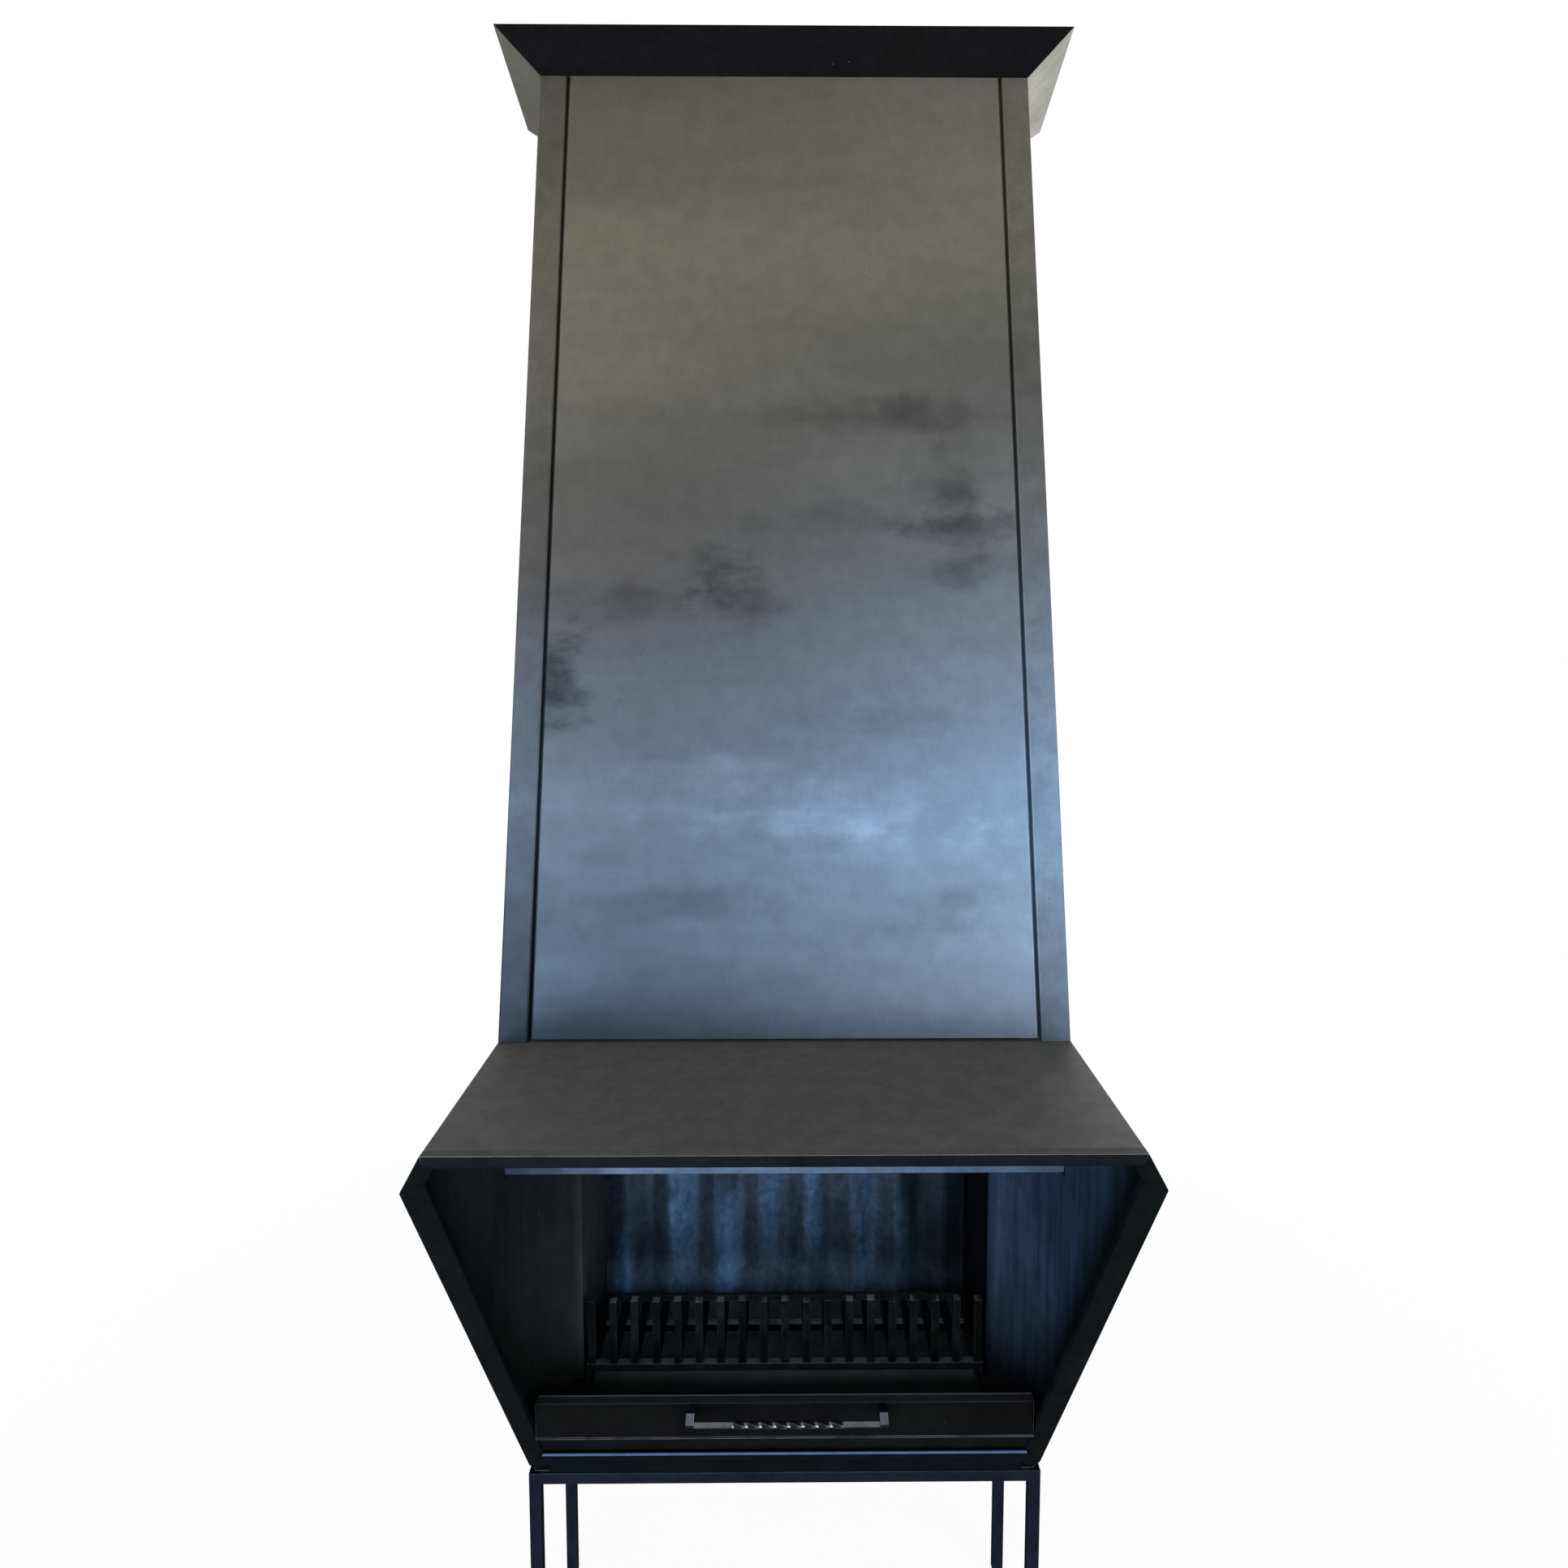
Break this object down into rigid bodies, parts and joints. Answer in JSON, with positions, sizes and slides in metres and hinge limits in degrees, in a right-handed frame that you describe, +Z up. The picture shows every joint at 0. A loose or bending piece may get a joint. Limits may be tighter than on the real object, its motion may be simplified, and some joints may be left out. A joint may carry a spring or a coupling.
{
  "type": "wall fireplace",
  "caption": "Sheet-steel wall fireplace: tapering smoke hood with flared cornice over an inclined open firebox with log grate and ash drawer, on a square-tube leg frame.",
  "frame": {"origin": "middle of the body back plate's rear face, where the fireplace is fastened to the wall, 816 mm above the floor", "axes": "+Z up, +Y into the wall, -Y out to the front, +X to the right as seen from the front"},
  "size_m": [0.85, 0.6897, 2.558],
  "materials": {
    "hood_paint": "satin dark grey heat paint, clouded and faintly scratched",
    "frame_paint": "dark blue-grey paint",
    "body_paint": "dark matt paint",
    "rim_paint": "near-black satin paint",
    "lining_steel": "blackened sheet steel with rub marks",
    "sooted_steel": "matt sooted steel",
    "bare_steel": "bluish bare steel",
    "forged_steel": "blackened forged square bar"
  },
  "bodies": {
    "fireplace": {"hood_casing_left": "hood_paint", "hood_casing_right": "hood_paint", "hood_front_panel": "hood_paint", "hood_back_panel": "hood_paint", "hood_top_plate": "hood_paint", "flue_collar": "hood_paint", "cornice_front": "hood_paint", "cornice_left": "hood_paint", "cornice_right": "hood_paint", "leg_front_left": "frame_paint", "leg_front_right": "frame_paint", "leg_rear_left": "frame_paint", "leg_rear_right": "frame_paint", "frame_rail_left": "frame_paint", "frame_rail_right": "frame_paint", "frame_rail_front": "frame_paint", "frame_rail_rear": "frame_paint", "body_bottom": "body_paint", "body_back": "body_paint", "body_side_left": "body_paint", "body_side_right": "body_paint", "shelf_plate": "body_paint", "rim_left": "rim_paint", "rim_right": "rim_paint", "rim_top": "rim_paint", "lip_bottom": "rim_paint", "base_front_panel": "rim_paint", "cheek_left": "lining_steel", "cheek_right": "lining_steel", "fireback": "lining_steel", "hearth_floor": "sooted_steel", "damper_bracket_left": "sooted_steel", "damper_bracket_right": "sooted_steel", "smoke_baffle": "bare_steel"},
    "ash_drawer": {"drawer_front": "lining_steel", "drawer_tray": "lining_steel", "drawer_handle": "forged_steel"},
    "grate": {"grate_cross_front": "forged_steel", "grate_cross_rear": "forged_steel", "grate_bar_01": "forged_steel", "grate_bar_02": "forged_steel", "grate_bar_03": "forged_steel", "grate_bar_04": "forged_steel", "grate_bar_05": "forged_steel", "grate_bar_06": "forged_steel", "grate_bar_07": "forged_steel", "grate_bar_08": "forged_steel", "grate_bar_09": "forged_steel", "grate_bar_10": "forged_steel", "grate_bar_11": "forged_steel", "grate_bar_12": "forged_steel", "grate_bar_13": "forged_steel", "grate_bar_14": "forged_steel", "grate_bar_15": "forged_steel", "grate_bar_16": "forged_steel", "grate_bar_17": "forged_steel", "grate_bar_18": "forged_steel", "grate_bar_19": "forged_steel"},
    "damper": {"damper_flap": "sooted_steel", "damper_rod": "sooted_steel"}
  },
  "joints": [
    {"name": "ash_drawer_slide", "type": "slide", "parent": "fireplace", "child": "ash_drawer", "axis": [0, -1, 0], "range_m": [0, 0.25]},
    {"name": "grate_lift", "type": "slide", "parent": "fireplace", "child": "grate", "axis": [0, 0, 1], "range_m": [0, 0.12]},
    {"name": "damper_hinge", "type": "hinge", "parent": "fireplace", "child": "damper", "pos_m": [0, -0.066, 0.406], "axis": [-1, 0, 0], "range_deg": [0, 75]}
  ]
}
